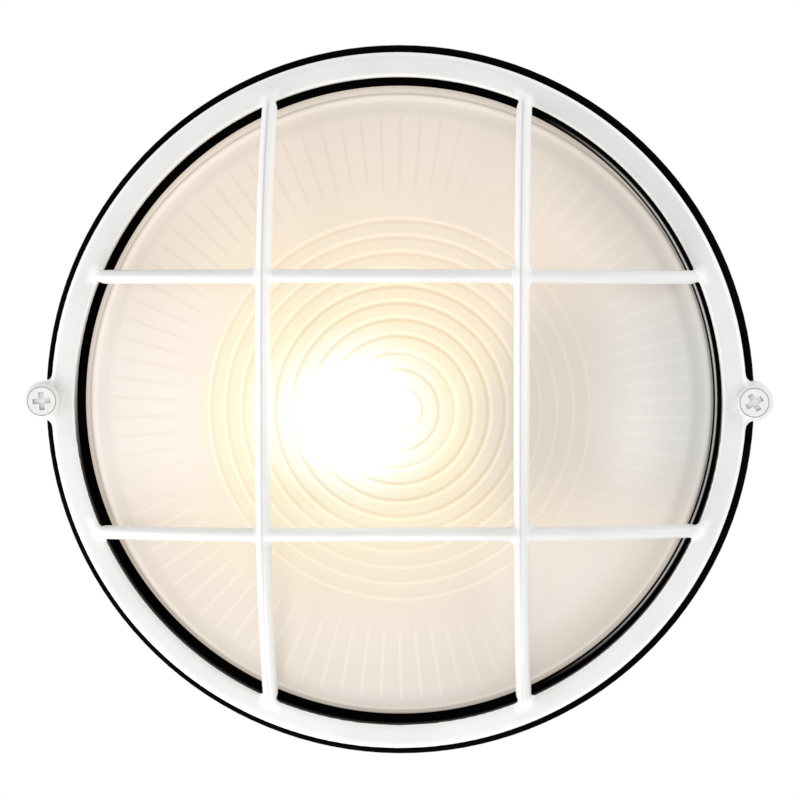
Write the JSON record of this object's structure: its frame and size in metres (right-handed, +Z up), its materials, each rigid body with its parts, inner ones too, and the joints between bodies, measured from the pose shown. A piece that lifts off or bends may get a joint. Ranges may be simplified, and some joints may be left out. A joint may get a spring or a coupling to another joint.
{
  "type": "bulkhead light",
  "caption": "Round die-cast bulkhead light with a domed prismatic glass lens, rubber gasket and a caged guard held by ear screws, for fixing to a wall or ceiling.",
  "frame": {"origin": "centre of the back face, on the wall plane and midway between the two wall-fixing holes", "axes": "+Y into the wall, so that the lens faces -Y; +Z up the wall; +X to the right as seen from the front"},
  "size_m": [0.214, 0.0945, 0.2034],
  "materials": {
    "white_enamel": "satin powder coat",
    "black_rubber": "matt moulded rubber",
    "lens_glass": "frosted pressed glass",
    "lamp_glass": "lit opal glass",
    "porcelain": "glazed porcelain",
    "plated_steel": "zinc plated",
    "brass": "turned brass",
    "grey_plastic": "moulded nylon"
  },
  "bodies": {
    "housing": {"rear_housing": "white_enamel", "entry_plugs": "grey_plastic", "plug_seals": "black_rubber", "cable_grommet": "black_rubber", "lampholder_bracket": "plated_steel", "bracket_screws": "plated_steel", "lampholder_body": "porcelain", "lampholder_screws": "plated_steel", "lampholder_shell": "brass", "centre_contact": "brass", "bulb": "lamp_glass", "terminal_block": "porcelain", "terminal_tubes": "brass", "terminal_screws": "plated_steel", "block_screw": "plated_steel", "earth_screw": "brass", "earth_washer": "brass"},
    "cover": {"gasket": "black_rubber", "glass_lens": "lens_glass", "guard": "white_enamel"},
    "screw_left": {"cover_screw_left": "white_enamel", "retaining_ring_left": "black_rubber"},
    "screw_right": {"cover_screw_right": "white_enamel", "retaining_ring_right": "black_rubber"}
  },
  "joints": [
    {"name": "cover_lift", "type": "slide", "parent": "housing", "child": "cover", "axis": [0, -1, 0], "range_m": [0, 0.08]},
    {"name": "cover_screw_left_turn", "type": "hinge", "parent": "cover", "child": "screw_left", "pos_m": [-0.1015, -0.07, 0], "axis": [0, -1, 0], "continuous": true},
    {"name": "cover_screw_right_turn", "type": "hinge", "parent": "cover", "child": "screw_right", "pos_m": [0.1015, -0.07, 0], "axis": [0, -1, 0], "continuous": true}
  ]
}
